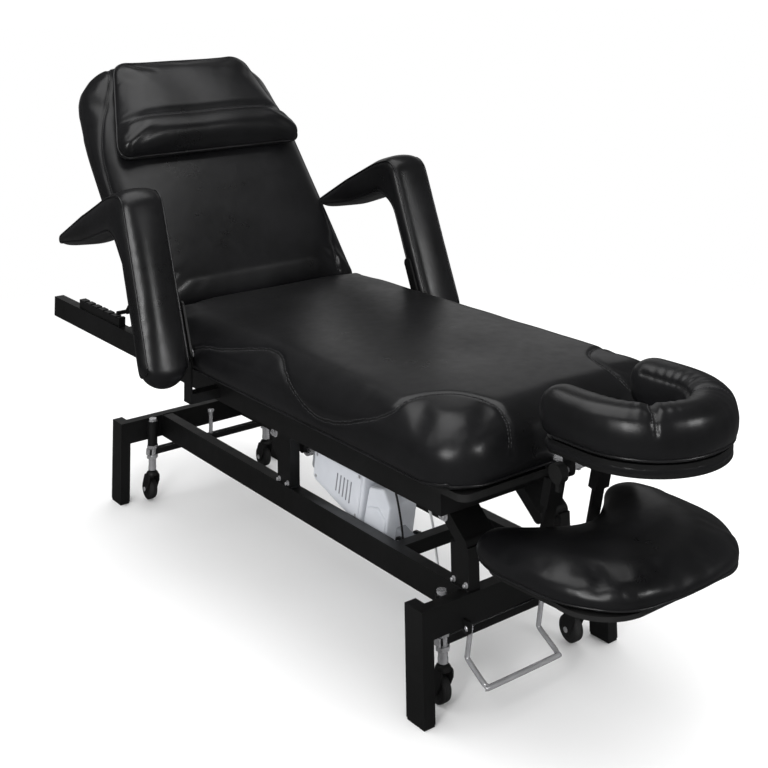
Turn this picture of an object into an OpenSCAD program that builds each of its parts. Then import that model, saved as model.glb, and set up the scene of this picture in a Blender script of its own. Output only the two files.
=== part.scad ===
// Electric facial treatment bed: a two-section couch on a parallelogram lift, with armrests,
// a head pillow, a face cradle and an arm shelf. The floor is z = 0 and the origin is below the
// middle of the whole length. +Y points to the backrest end and -Y to the face cradle end.
// The modules are drawn about the centre of the base, and placed() moves them to the origin.

/* [Base] */
// Length of the base over its legs
base_l = 1240; // [1200:10:1280]
// Width of the base over its legs
base_w = 480; // [470:5:500]
// Height of the base frame
leg_h = 188; // [180:1:195]
// Distance from the centre line to the middle of each long beam
beam_x = 115.5; // [112:0.5:118]

/* [Tube] */
// Deep side of the rectangular tube
tube_d = 50; // [48:1:52]
// Thin side of the rectangular tube
tube_t = 25; // [24:1:26]

/* [Lift] */
// Length of a lift arm between its pivots
arm_l = 330; // [320:5:340]
// Distance between the front and the rear lift pivots
pivot_gap = 455; // [445:5:460]
// Length of the crank that the actuator pushes
crank_r = 120; // [117:1:122]

/* [Bed frame] */
// Height of the underside of the side rails with the bed lowered
rail_z = 362; // [362:1:364]
// Rear end of the side rails
rail_rear = 998; // [980:2:1010]

/* [Upholstery] */
// Width of the seat and of the backrest
seat_w = 600; // [590:2:604]
// Top of the seat with the bed lowered
seat_top = 535; // [530:1:540]
// Length of the backrest cushion
back_l = 745; // [720:5:760]
// Recline of the backrest above level
back_angle = 48; // [46:0.5:50]
// Width of an armrest pad
arm_pad_w = 118; // [110:2:122]
// Outer width of the face cradle
cradle_w = 308; // [300:2:312]
// Width of the arm shelf
shelf_w = 430; // [420:5:440]

/* [Casters] */
// Radius of a caster wheel
wheel_r = 25; // [24:0.5:26]
// Distance from the centre line to a caster
caster_x = 165; // [162:1:168]

/* [Hidden] */
$fn = 48;

black_steel = [0.05, 0.05, 0.05];
vinyl = [0.07, 0.07, 0.075];
chrome = [0.82, 0.83, 0.85];
grey_plastic = [0.78, 0.79, 0.8];
black_plastic = [0.09, 0.09, 0.09];
painted_board = [0.06, 0.06, 0.06];

// Base
wall = 2;
glide_t = 4;
half_l = base_l / 2;
half_w = base_w / 2;
beam_in = beam_x - tube_t / 2;
beam_out = beam_x + tube_t / 2;
post_low_y = -half_l + 30;
mid_beam_y = -half_l + 237.5;

// Lift pivots
pin_r = 6;
run = 0.05;
loose = 0.3;
pivot_z = 375;
rear_pivot_y = 0;
front_pivot_y = rear_pivot_y - pivot_gap;
arm_in = beam_out + 3;
arm_w = 50;
arm_out = arm_in + arm_w;
rake = 37.5;
head_in = 57;

// Actuator
act_x = -60;
foot_y = mid_beam_y + 32;
foot_z = leg_h - 16;
crank_y = rear_pivot_y;
crank_z = pivot_z - crank_r;
act_len = norm([crank_y - foot_y, crank_z - foot_z]);
act_a = atan2(crank_z - foot_z, crank_y - foot_y);

// Bed frame
rail_top = rail_z + tube_d;
rail_out = half_w;
rail_in = rail_out - tube_t;
rail_front = -677;
slat_z = rail_top - 20;
board_t = 12;
board_z = rail_top + 1;
seat_z = board_z + board_t + 0.5;
seat_front = -775;
seat_rear = 298;

// Backrest: its own frame has +Y up the backrest and +Z out of its face
hinge_y = 345;
hinge_z = 445;
back_t = 90;
prop_l = 200;
prop_drop = 6;
prop_x = 203;
pillow_y = back_l - 330;

// Armrests: the bent pad is drawn in the side view
arm_pad_in = 320;
arm_pad_t = 46;
arm_bend = [212, 790];
arm_foot = [68, 440];
wing_l = 345;
wing_a = -22;
arm_pivot = [98, 470];
plate_t = 5;

// Face cradle
cradle_y = -930;
cradle_z = 514;
cradle_h = 80;
cradle_rear = 112;
tilt_y = seat_front - 58;
rod_x = 60;
rod_z = 447;

// Arm shelf
shelf_y = -868;
shelf_z = 292;
shelf_t = 52;
bar_w = 28;
hanger_y = -774;
bar_lean = 16;
bar_t = 6;

// Casters and pedal
front_caster_y = -582;
rear_caster_y = 550;
stem_r = 9;
fork_top = 72;
pedal_x = -50;
pedal_half = 87;
pedal_y = -half_l - 8;
pedal_z = 139;

// Middle of the whole length, from the front of the face cradle to the rail end caps
cap_t = 3;
middle_y = (cradle_y - cradle_w / 2 + rail_rear + cap_t) / 2;

// ---- Shapes that repeat ----

module placed() {
  translate([0, -middle_y, 0]) children();
}

module box(a, b) {
  translate(a) cube(b - a);
}

// A pair of mirror images on both sides of the centre line
module both_sides() {
  children();
  mirror([1, 0, 0]) children();
}

module x_rod(r, x0, x1, y, z) {
  translate([x0, y, z]) rotate([0, 90, 0]) cylinder(r = r, h = x1 - x0);
}

module y_rod(r, y0, y1, x, z) {
  translate([x, y1, z]) rotate([90, 0, 0]) cylinder(r = r, h = y1 - y0);
}

// A plate drawn in the side view (y, z) and given its thickness along x
module side_plate(x0, x1) {
  translate([x0, 0, 0]) rotate([90, 0, 90]) linear_extrude(x1 - x0) children();
}

// A rectangle with rounded corners in a plane
module round_rect(a, b, r) {
  translate([a[0] + r, a[1]]) square([b[0] - a[0] - 2 * r, b[1] - a[1]]);
  translate([a[0], a[1] + r]) square([b[0] - a[0], b[1] - a[1] - 2 * r]);
  for (x = [a[0] + r, b[0] - r]) {
    for (y = [a[1] + r, b[1] - r]) {
      translate([x, y]) circle(r);
    }
  }
}

// A straight strip with round ends, drawn between two points; the ends are slightly wider
module strip(p, q, w) {
  d = q - p;
  shank = 0.96 * w;
  translate(p) rotate(atan2(d[1], d[0])) translate([0, -shank / 2]) square([norm(d), shank]);
  translate(p) circle(w / 2);
  translate(q) circle(w / 2);
}

// Hexagon head of a bolt whose axis runs along x
module hex_head_x(x, y, z, size) {
  translate([x, y, z]) rotate([0, 90, 0]) cylinder(r = size, h = 6, $fn = 6);
}

// ---- Base ----

module rear_post_shape() {
  difference() {
    union() {
      translate([-tube_d / 2, leg_h]) square([tube_d, pivot_z - leg_h]);
      translate([0, pivot_z]) circle(tube_d / 2 - 7);
      polygon([[24, 236], [46, 252], [46, rail_z - 8], [24, rail_z - 8]]);
    }
    translate([rear_pivot_y, pivot_z]) circle(pin_r + run);
  }
}

module front_post_shape() {
  translate([post_low_y - tube_d / 2, leg_h]) square([tube_d, 72]);
}

// The raked head carries the front lift pivot up and back from the post
module front_head_shape() {
  difference() {
    union() {
      strip([post_low_y - 8, leg_h + 74], [front_pivot_y, pivot_z], tube_t);
      translate([front_pivot_y, pivot_z]) circle(16);
    }
    translate([front_pivot_y, pivot_z]) circle(pin_r + run);
  }
}

module caster_sleeve(y) {
  difference() {
    translate([caster_x, y, 130]) cylinder(r = 12, h = leg_h - 132);
    translate([caster_x, y, 129]) cylinder(r = stem_r + run, h = leg_h);
  }
}

module base_frame() {
  color(black_steel) {
    both_sides() {
      for (s = [-1, 1]) {
        y = s > 0 ? half_l - tube_d : -half_l;
        box([half_w - tube_t, y, glide_t], [half_w, y + tube_d, leg_h]);
      }
      box([beam_in, -half_l + tube_t, leg_h - tube_d], [beam_out, half_l - tube_d, leg_h]);
      side_plate(beam_in, beam_out) rear_post_shape();
      side_plate(beam_in, beam_out) front_post_shape();
      side_plate(head_in, beam_out) front_head_shape();
      caster_sleeve(front_caster_y);
      caster_sleeve(rear_caster_y);
      box([caster_x - 5, -half_l + tube_t, 150], [caster_x + 5, front_caster_y - 10, 176]);
      box([caster_x - 5, rear_caster_y + 10, 150], [caster_x + 5, half_l - tube_d, 176]);
    }
    box([-half_w + tube_t, -half_l, leg_h - tube_d], [half_w - tube_t, -half_l + tube_t, leg_h]);
    box([-half_w + tube_t, half_l - tube_d, leg_h - tube_d],
        [half_w - tube_t, half_l - tube_d + tube_t, leg_h]);
    box([-beam_in, mid_beam_y - tube_t / 2, leg_h - tube_t],
        [beam_in, mid_beam_y + tube_t / 2, leg_h]);
    actuator_foot();
    pedal_lugs();
  }
}

// Two ears behind the middle cross beam hold the actuator's foot pin
module actuator_foot() {
  for (x = [act_x - 24, act_x + 19]) {
    difference() {
      side_plate(x, x + 5) union() {
        translate([mid_beam_y + tube_t / 2, foot_z - 8]) square([foot_y - mid_beam_y - 12, 20]);
        translate([foot_y, foot_z]) circle(12);
      }
      x_rod(pin_r + run, x - 1, x + 6, foot_y, foot_z);
    }
  }
}

// Two pairs of ears under the front cross beam hold the pedal
module pedal_lugs() {
  for (s = [-1, 1]) {
    x = pedal_x + s * (pedal_half + 9);
    difference() {
      side_plate(x - 3, x + 3) union() {
        translate([pedal_y - 10, pedal_z]) square([18, 14]);
        translate([pedal_y, pedal_z]) circle(10);
      }
      x_rod(5 + run, x - 4, x + 4, pedal_y, pedal_z);
    }
  }
}

module leg_glides() {
  color(black_plastic) both_sides() {
    for (s = [-1, 1]) {
      y = s > 0 ? half_l - tube_d : -half_l;
      box([half_w - tube_t + 1, y + 1, 0], [half_w - 1, y + tube_d - 1, glide_t]);
    }
  }
}

// Bright bolts on the outer sides of the four columns
module column_bolts() {
  color(chrome) both_sides() {
    for (p = [[35, 288], [-548, 297]]) {
      x_rod(9, beam_out, beam_out + 2, p[0], p[1]);
      x_rod(7, beam_out + 2, beam_out + 8, p[0], p[1]);
      x_rod(3.5, beam_out + 8, beam_out + 11, p[0], p[1]);
    }
  }
}

module lower_pivot_pins() {
  color(chrome) both_sides() {
    x_rod(pin_r, beam_in - 3, arm_out + 4, rear_pivot_y, pivot_z);
    hex_head_x(beam_in - 9, rear_pivot_y, pivot_z, 11);
    x_rod(pin_r, head_in - 3, arm_out + 4, front_pivot_y, pivot_z);
    hex_head_x(head_in - 9, front_pivot_y, pivot_z, 11);
  }
}

// ---- Lift arms ----

// Flat bar with a round eye at each pivot; far_run is the clearance at the upper pivot
module arm_bar(y, far_run) {
  difference() {
    union() {
      box([arm_in, y, pivot_z - tube_t / 2], [arm_out, y + arm_l, pivot_z + tube_t / 2]);
      x_rod(tube_t / 2, arm_in, arm_out, y, pivot_z);
      x_rod(tube_t / 2, arm_in, arm_out, y + arm_l, pivot_z);
    }
    x_rod(pin_r + run, arm_in - 1, arm_out + 1, y, pivot_z);
    x_rod(pin_r + far_run, arm_in - 1, arm_out + 1, y + arm_l, pivot_z);
  }
}

module arm_cross_tube(y) {
  box([-arm_in, y, pivot_z - tube_t / 2], [arm_in, y + tube_t, pivot_z + tube_t / 2]);
}

module crank_shape() {
  difference() {
    union() {
      polygon([[43, pivot_z + 10], [66, pivot_z + 10], [66, pivot_z - 12],
               [crank_y + 11, crank_z - 4], [crank_y - 9, crank_z + 8]]);
      translate([crank_y, crank_z]) circle(12);
    }
    translate([crank_y, crank_z]) circle(4.8);
  }
}

module rear_lift_arm() {
  color(black_steel) {
    both_sides() arm_bar(rear_pivot_y, run);
    arm_cross_tube(rear_pivot_y + 42);
    side_plate(act_x - 22, act_x - 16) crank_shape();
    side_plate(act_x + 16, act_x + 22) crank_shape();
    x_rod(5, act_x - 22, act_x + 22, crank_y, crank_z);
  }
}

module front_lift_arm() {
  color(black_steel) {
    both_sides() arm_bar(front_pivot_y, loose);
    arm_cross_tube(front_pivot_y + 130);
  }
}

// ---- Bed frame ----

// Ears under a slat hold the upper pivot pin on both sides of an arm
module upper_ear(x, y) {
  difference() {
    side_plate(x, x + 5) union() {
      translate([y - 15, pivot_z]) square([30, slat_z - pivot_z + 4]);
      translate([y, pivot_z]) circle(15);
    }
    x_rod(pin_r + run, x - 1, x + 6, y, pivot_z);
  }
}

module slat(y) {
  box([-rail_in, y - tube_d / 2, slat_z], [rail_in, y + tube_d / 2, rail_top]);
}

// Side rail, open at its rear end
module side_rail() {
  difference() {
    box([rail_in, rail_front, rail_z], [rail_out, rail_rear, rail_top]);
    box([rail_in + wall, rail_front + 30, rail_z + wall],
        [rail_out - wall, rail_rear + 1, rail_top - wall]);
  }
}

// The ears beside the backrest hold its hinge pins above the rails
module hinge_ear() {
  difference() {
    side_plate(rail_in - 6, rail_in) union() {
      translate([hinge_y - 16, rail_z + 6]) square([32, hinge_z - rail_z - 6]);
      translate([hinge_y, hinge_z]) circle(16);
    }
    x_rod(pin_r + run, rail_in - 7, rail_in + 1, hinge_y, hinge_z);
  }
}

// Outrigger from the side rail to the armrest pivot
module armrest_outrigger() {
  x = arm_pad_in - 2 * plate_t - 3;
  box([rail_out - 1, arm_pivot[0] - 15, rail_z + 8], [x, arm_pivot[0] + 15, rail_z + 28]);
  difference() {
    side_plate(x, x + plate_t) union() {
      translate([arm_pivot[0] - 15, rail_z + 8]) square([30, arm_pivot[1] - rail_z - 8]);
      translate(arm_pivot) circle(15);
    }
    x_rod(pin_r + run, x - 1, x + plate_t + 1, arm_pivot[0], arm_pivot[1]);
  }
}

module bed_frame() {
  color(black_steel) {
    both_sides() {
      side_rail();
      hinge_ear();
      armrest_outrigger();
      for (y = [front_pivot_y + arm_l, rear_pivot_y + arm_l]) {
        upper_ear(arm_in - 7, y);
        upper_ear(arm_out + 2, y);
      }
    }
    for (y = [-420, front_pivot_y + arm_l, rear_pivot_y + arm_l, 560]) {
      slat(y);
    }
    box([-rail_in, rail_front, rail_z], [rail_in, rail_front + tube_t, rail_top]);
  }
}

module rail_end_caps() {
  color(black_plastic) both_sides() {
    box([rail_in + 0.5, rail_rear, rail_z + 0.5], [rail_out - 0.5, rail_rear + cap_t, rail_top - 0.5]);
    box([rail_in + wall + 0.3, rail_rear - 12, rail_z + wall + 0.3],
        [rail_out - wall - 0.3, rail_rear, rail_top - wall - 0.3]);
  }
}

module upper_pivot_pins() {
  color(chrome) both_sides() {
    for (y = [front_pivot_y + arm_l, rear_pivot_y + arm_l]) {
      x_rod(pin_r, arm_in - 8, arm_out + 8, y, pivot_z);
      hex_head_x(arm_out + 8, y, pivot_z, 11);
    }
  }
}

// Notched strips on the rails; the foot of the backrest prop rests on them
module prop_racks() {
  first = hinge_y + 2 * prop_l * cos(back_angle) + prop_drop * sin(back_angle);
  pitch = 38;
  top = rail_top + 21;
  color(black_steel) both_sides() difference() {
    box([rail_in + 4, first - 18, rail_top], [rail_out - 4, first + 225, top]);
    for (i = [0:5]) {
      x_rod(6, rail_in, rail_out, first + i * pitch, top + 1);
    }
  }
}

module seat_board() {
  color(painted_board) difference() {
    translate([0, 0, board_z]) linear_extrude(board_t) {
      round_rect([-262, seat_front + 12], [262, seat_rear - 8], 20);
    }
    for (x = [-150, 0, 150]) {
      translate([x, 0, board_z - 1]) cylinder(r = 10, h = board_t + 2);
    }
  }
}

module seat_cushion() {
  color(vinyl) difference() {
    translate([0, 0, seat_z]) linear_extrude(seat_top - seat_z) {
      round_rect([-seat_w / 2, seat_front], [seat_w / 2, seat_rear], 45);
    }
    for (x = [-rod_x, rod_x]) {
      box([x - 14, seat_front - 1, seat_z - 1], [x + 14, seat_front + 187, rod_z + 14]);
    }
  }
}

// Steel tubes inside the front of the seat take the rods of the face cradle
module cradle_sockets() {
  color(black_steel) for (x = [-rod_x, rod_x]) {
    difference() {
      box([x - 12, seat_front + 14, board_z + board_t], [x + 12, seat_front + 184, rod_z + 12]);
      y_rod(8 + run, seat_front + 13, seat_front + 185, x, rod_z);
    }
  }
}

module backrest_hinge_pins() {
  color(chrome) both_sides() {
    x_rod(pin_r, rail_in - 28, rail_in, hinge_y, hinge_z);
    x_rod(10, rail_in, rail_in + 4, hinge_y, hinge_z);
  }
}

// ---- Actuator: its own frame has +Y along the rod, with the foot pin at the origin ----

module at_actuator() {
  translate([act_x, foot_y, foot_z]) rotate([act_a, 0, 0]) children();
}

// Gear motor with the clevis that turns on the foot pin
module actuator_motor() {
  color(grey_plastic) at_actuator() difference() {
    union() {
      side_plate(-12, 12) {
        circle(13);
        translate([0, -13]) square([30, 26]);
      }
      side_plate(-36, 36) polygon([[26, -18], [26, 62], [52, 86], [98, 64], [104, -22], [50, -32]]);
    }
    x_rod(pin_r + run, -13, 13, 0, 0);
    y_rod(16.1, 60, 130, 0, 0);
  }
}

// Housing of the electronics, clamped over the actuator's tube
module control_box() {
  color(grey_plastic) at_actuator() difference() {
    side_plate(-40, 40) polygon([[109, -30], [112, 86], [122, 90], [294, 46], [298, 38], [288, -24]]);
    y_rod(16.1, 108, 300, 0, 0);
  }
}

module actuator_tube() {
  color(chrome) at_actuator() difference() {
    y_rod(16, 62, 322, 0, 0);
    y_rod(10.06, 70, 323, 0, 0);
  }
}

module actuator_foot_pin() {
  color(chrome) {
    x_rod(pin_r, act_x - 26, act_x + 26, foot_y, foot_z);
    hex_head_x(act_x + 26, foot_y, foot_z, 9);
  }
}

// The eye has play around the crank pin, because the closed linkage is opened here
module actuator_rod() {
  color(chrome) at_actuator() difference() {
    union() {
      y_rod(10, 120, act_len - 18, 0, 0);
      x_rod(21, -9, 9, act_len, 0);
    }
    x_rod(16, -10, 10, act_len, 0);
  }
}

// Lead out of the side of the motor, hanging down behind the middle cross beam
module actuator_cable() {
  cable_r = 2.5;
  x = act_x + 70;
  color([0.9, 0.9, 0.9]) {
    x_rod(cable_r, act_x + 36, x, foot_y, foot_z + 52);
    translate([x, foot_y, foot_z + 52]) sphere(cable_r);
    translate([x, foot_y, foot_z - 55]) cylinder(r = cable_r, h = 107);
  }
}

// ---- Backrest ----

module at_backrest() {
  translate([0, hinge_y, hinge_z]) rotate([back_angle, 0, 0]) children();
}

module backrest_board() {
  color(painted_board) at_backrest() {
    translate([0, 0, 2]) linear_extrude(board_t) back_shape(30, 30);
    both_sides() {
      difference() {
        side_plate(rail_in - 26, rail_in - 20) union() {
          circle(16);
          translate([0, -10]) square([70, 13]);
        }
        x_rod(pin_r + run, rail_in - 27, rail_in - 19, 0, 0);
      }
      difference() {
        side_plate(prop_x + 7, prop_x + 11) {
          strip([prop_l, -prop_drop], [prop_l, 0], 16);
          translate([prop_l - 20, -2]) square([40, 5]);
        }
        x_rod(4 + run, prop_x + 6, prop_x + 12, prop_l, -prop_drop);
      }
    }
  }
}

// Outline of the backrest with wide round shoulders, drawn smaller by the inset
module back_shape(start, inset) {
  shoulder = 120;
  top = back_l - inset;
  side = seat_w / 2 - inset;
  translate([-side, start]) square([2 * side, top - shoulder - start]);
  translate([shoulder - side, start]) square([2 * (side - shoulder), top - start]);
  for (s = [-1, 1]) {
    translate([s * (side - shoulder), top - shoulder]) circle(shoulder);
  }
}

// The lower end is cut back so that it clears the seat when the backrest is up
module backrest_cushion() {
  z0 = board_t + 2.5;
  color(vinyl) at_backrest() intersection() {
    translate([0, 0, z0]) linear_extrude(back_t - z0) {
      back_shape(12, 0);
    }
    side_plate(-seat_w / 2 - 1, seat_w / 2 + 1) polygon([
      [12, z0 - 1], [37, back_t + 0.5], [back_l + 1, back_t + 0.5], [back_l + 1, z0 - 1]
    ]);
  }
}

module head_pillow() {
  color(vinyl) at_backrest() translate([0, 0, back_t + 2]) linear_extrude(62) hull() {
    for (s = [-1, 1]) {
      translate([s * 238, pillow_y + 36]) circle(34);
      translate([s * 180, pillow_y + 268]) circle(34);
    }
  }
}

// Swinging stay: two side legs, a pivot rod and a foot rod
module backrest_prop() {
  color(black_steel) at_backrest() translate([0, prop_l, -prop_drop]) rotate([-2 * back_angle, 0, 0]) {
    both_sides() {
      side_plate(prop_x - 4, prop_x + 4) strip([0, 0], [prop_l, 0], 14);
      x_rod(4, prop_x - 8, prop_x + 13, 0, 0);
    }
    x_rod(5, -prop_x - 31, prop_x + 31, prop_l, 0);
  }
}

// ---- Armrests ----

module armrest_shape() {
  wing = arm_bend + wing_l * [cos(wing_a), sin(wing_a)];
  strip(arm_foot, arm_bend, arm_pad_t);
  strip(arm_bend, wing, arm_pad_t);
}

module armrest_pad() {
  color(vinyl) side_plate(arm_pad_in, arm_pad_in + arm_pad_w) armrest_shape();
}

module armrest_plate() {
  color(black_steel) difference() {
    side_plate(arm_pad_in - plate_t - 1, arm_pad_in - 1) union() {
      translate(arm_pivot) circle(16);
      strip([82, 476], [120, 566], 24);
    }
    x_rod(pin_r + run, arm_pad_in - 8, arm_pad_in, arm_pivot[0], arm_pivot[1]);
  }
}

module armrest_bolt() {
  x = arm_pad_in - 2 * plate_t - 3;
  color(chrome) {
    x_rod(pin_r, x - 1, arm_pad_in - 1, arm_pivot[0], arm_pivot[1]);
    hex_head_x(x - 6, arm_pivot[0], arm_pivot[1], 10);
  }
}

// ---- Face cradle ----

// Horseshoe open towards the bed
module horseshoe(outer, inner, rear) {
  lobe = (outer - inner) / 2;
  difference() {
    union() {
      intersection() {
        circle(outer);
        translate([-outer, -outer]) square([2 * outer, outer]);
      }
      translate([-outer, 0]) square([2 * outer, rear - lobe]);
      for (s = [-1, 1]) {
        translate([s * (outer - lobe), rear - lobe]) circle(lobe);
      }
    }
    circle(inner);
    translate([-inner, 0]) square([2 * inner, rear + 1]);
  }
}

module cradle_cushion() {
  color(vinyl) translate([0, cradle_y, cradle_z]) linear_extrude(cradle_h) {
    horseshoe(cradle_w / 2, 70, cradle_rear);
  }
}

module cradle_platform() {
  color(black_steel) {
    translate([0, cradle_y, cradle_z - 22]) linear_extrude(21) {
      horseshoe(cradle_w / 2 - 10, 76, cradle_rear - 6);
    }
    for (s = [-1, 1]) {
      difference() {
        side_plate(s * 84 - 4, s * 84 + 4) union() {
          translate([tilt_y, rod_z]) circle(11);
          translate([tilt_y - 11, rod_z]) square([22, cradle_z - 20 - rod_z]);
        }
        x_rod(5 + run, s * 84 - 5, s * 84 + 5, tilt_y, rod_z);
      }
    }
  }
}

// Two rods that slide in the sockets, joined by the tilt shaft
module cradle_rods() {
  color(chrome) {
    for (x = [-rod_x, rod_x]) {
      y_rod(8, tilt_y, seat_front + 120, x, rod_z);
    }
    x_rod(5, -100, 90, tilt_y, rod_z);
  }
}

module cradle_clamp_knob() {
  color(black_plastic) difference() {
    union() {
      x_rod(16, -118, -101, tilt_y, rod_z);
      box([-114, tilt_y - 4, rod_z - 30], [-106, tilt_y + 4, rod_z]);
    }
    x_rod(5 + run, -110, -90, tilt_y, rod_z);
  }
}

// ---- Arm shelf ----

// Front (side -1) or rear (side 1) face of a leaning bar at height z
function bar_y(z, side) =
  hanger_y + side * bar_t / 2 / cos(bar_lean) + (board_z - z) * tan(bar_lean);

// The shelf's bars lean: +Z of this frame runs along them, and the seat board is at its origin
module at_hanger() {
  translate([0, hanger_y, board_z]) rotate([bar_lean, 0, 0]) children();
}

// Sockets under the seat board for the two flat bars
module arm_shelf_hangers() {
  color(black_steel) for (x = [-rod_x, rod_x]) {
    difference() {
      at_hanger() box([x - 18, -9, -52], [x + 18, 9, 12]);
      at_hanger() box([x - bar_w / 2 - 0.1, -bar_t / 2 - 0.1, -53],
                      [x + bar_w / 2 + 0.1, bar_t / 2 + 0.1, -8]);
      box([x - 20, hanger_y - 30, board_z], [x + 20, hanger_y + 30, board_z + 40]);
    }
  }
}

// Flat bars, bent once: up into the sockets, and forward under the shelf board
module arm_shelf_bars() {
  top = board_z - 12;
  color(black_steel) for (x = [-rod_x, rod_x]) {
    side_plate(x - bar_w / 2, x + bar_w / 2) polygon([
      [bar_y(top, -1), top], [bar_y(top, 1), top],
      [bar_y(shelf_z - 14, 1), shelf_z - 14], [shelf_y - 40, shelf_z - 14],
      [shelf_y - 40, shelf_z - 8], [bar_y(shelf_z - 8, -1), shelf_z - 8]
    ]);
  }
}

// Kidney outline: two back lobes, a hollow between them and a round front
module shelf_shape(grow) {
  lobe = 74 + grow;
  lobe_x = shelf_w / 2 - 74;
  front_x = shelf_w / 2 - 114;
  side = shelf_w / 2 - 8 + grow;
  difference() {
    union() {
      for (s = [-1, 1]) {
        translate([s * lobe_x, 96]) circle(lobe);
        translate([s * front_x, -46]) circle(108 + grow);
      }
      translate([-front_x, -154 - grow]) square([2 * front_x, 210]);
      polygon([[-shelf_w / 2 - grow, 96], [-side, -58], [side, -58],
               [shelf_w / 2 + grow, 96], [shelf_w / 2 - 80, 110], [80 - shelf_w / 2, 110]]);
    }
    translate([0, 190]) circle(112 - grow);
  }
}

module arm_shelf_board() {
  color(painted_board) translate([0, shelf_y, shelf_z - 8]) linear_extrude(7.5) shelf_shape(-16);
}

module arm_shelf_pad() {
  color(vinyl) translate([0, shelf_y, shelf_z]) linear_extrude(shelf_t) shelf_shape(0);
}

// ---- Casters and pedal ----

// Two stems joined by a cross bar, which moves straight up and down
module caster_bar(y, bar_z) {
  color(chrome) for (s = [-1, 1]) {
    difference() {
      translate([s * caster_x, y, fork_top]) cylinder(r = stem_r, h = leg_h - fork_top + 4);
      translate([s * caster_x, y, fork_top - 1]) cylinder(r = 4 + run, h = 21);
    }
  }
  color(black_steel) difference() {
    box([-caster_x - 14, y - 7, bar_z], [caster_x + 14, y + 7, bar_z + 14]);
    for (s = [-1, 1]) {
      translate([s * caster_x, y, bar_z - 1]) cylinder(r = stem_r - 0.5, h = 16);
    }
  }
}

module front_caster_bar() {
  caster_bar(front_caster_y, 102);
}

module rear_caster_bar() {
  caster_bar(rear_caster_y, 108);
  color(chrome) {
    translate([0, rear_caster_y, 120]) cylinder(r = 5, h = 54);
    translate([0, rear_caster_y, 174]) cylinder(r = 8, h = 4);
  }
}

// Bent chrome rod: two arms from the beam and a tread bar between them
module foot_pedal() {
  elbow = [pedal_y + 12, 84];
  tread = [pedal_y - 38, 56];
  color(chrome) {
    for (s = [-1, 1]) {
      x = pedal_x + s * pedal_half;
      side_plate(x - 4, x + 4) {
        strip([pedal_y, pedal_z], elbow, 8);
        strip(elbow, tread, 8);
      }
    }
    x_rod(5, pedal_x - pedal_half - 5, pedal_x + pedal_half + 5, tread[0], tread[1]);
    for (s = [-1, 1]) {
      x = pedal_x + s * (pedal_half + 7);
      x_rod(5, x - 7, x + 7, pedal_y, pedal_z);
    }
  }
}

// Fork with a swivel pin that turns inside the stem
module caster_fork(x, y) {
  trail = 12;
  axle_z = wheel_r + 1.5;
  color(black_plastic) translate([x, y, 0]) difference() {
    union() {
      translate([0, 0, 60]) cylinder(r = 14, h = fork_top - 61);
      translate([0, 0, fork_top - 1]) cylinder(r = 4, h = 16);
      for (s = [-1, 1]) {
        side_plate(s * 12.5 - 2, s * 12.5 + 2) {
          translate([trail, axle_z]) circle(10);
          polygon([[-12, 64], [12, 64], [trail + 10, axle_z], [trail - 10, axle_z]]);
        }
      }
      translate([-14.5, -12, 56]) cube([29, 24, 6]);
    }
    x_rod(3 + run, -16, 16, trail, axle_z);
  }
}

module caster_wheel(x, y) {
  trail = 12;
  axle_z = wheel_r + 1.5;
  color(black_plastic) {
    x_rod(wheel_r, x - 9, x + 9, y + trail, axle_z);
    x_rod(3, x - 15.5, x + 15.5, y + trail, axle_z);
  }
}

placed() base_frame();
placed() leg_glides();
placed() column_bolts();
placed() lower_pivot_pins();
placed() rear_lift_arm();
placed() front_lift_arm();
placed() bed_frame();
placed() rail_end_caps();
placed() upper_pivot_pins();
placed() prop_racks();
placed() seat_board();
placed() seat_cushion();
placed() backrest_hinge_pins();
placed() cradle_sockets();
placed() actuator_motor();
placed() control_box();
placed() actuator_tube();
placed() actuator_foot_pin();
placed() actuator_rod();
placed() actuator_cable();
placed() backrest_board();
placed() backrest_cushion();
placed() head_pillow();
placed() backrest_prop();
placed() mirror([1, 0, 0]) armrest_pad();  // armrest_pad_left
placed() armrest_pad();  // armrest_pad_right
placed() mirror([1, 0, 0]) armrest_plate();  // armrest_plate_left
placed() armrest_plate();  // armrest_plate_right
placed() mirror([1, 0, 0]) armrest_bolt();  // armrest_bolt_left
placed() armrest_bolt();  // armrest_bolt_right
placed() cradle_rods();
placed() cradle_platform();
placed() cradle_cushion();
placed() cradle_clamp_knob();
placed() arm_shelf_hangers();
placed() arm_shelf_bars();
placed() arm_shelf_board();
placed() arm_shelf_pad();
placed() front_caster_bar();
placed() rear_caster_bar();
placed() foot_pedal();
placed() caster_fork(-caster_x, front_caster_y);  // caster_fork_front_left
placed() caster_fork(caster_x, front_caster_y);  // caster_fork_front_right
placed() caster_fork(-caster_x, rear_caster_y);  // caster_fork_rear_left
placed() caster_fork(caster_x, rear_caster_y);  // caster_fork_rear_right
placed() caster_wheel(-caster_x, front_caster_y);  // caster_wheel_front_left
placed() caster_wheel(caster_x, front_caster_y);  // caster_wheel_front_right
placed() caster_wheel(-caster_x, rear_caster_y);  // caster_wheel_rear_left
placed() caster_wheel(caster_x, rear_caster_y);  // caster_wheel_rear_right
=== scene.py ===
import math

import bpy
import bmesh
import numpy as np
from mathutils import Matrix, Vector
from mathutils.bvhtree import BVHTree
from mathutils.kdtree import KDTree


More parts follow.
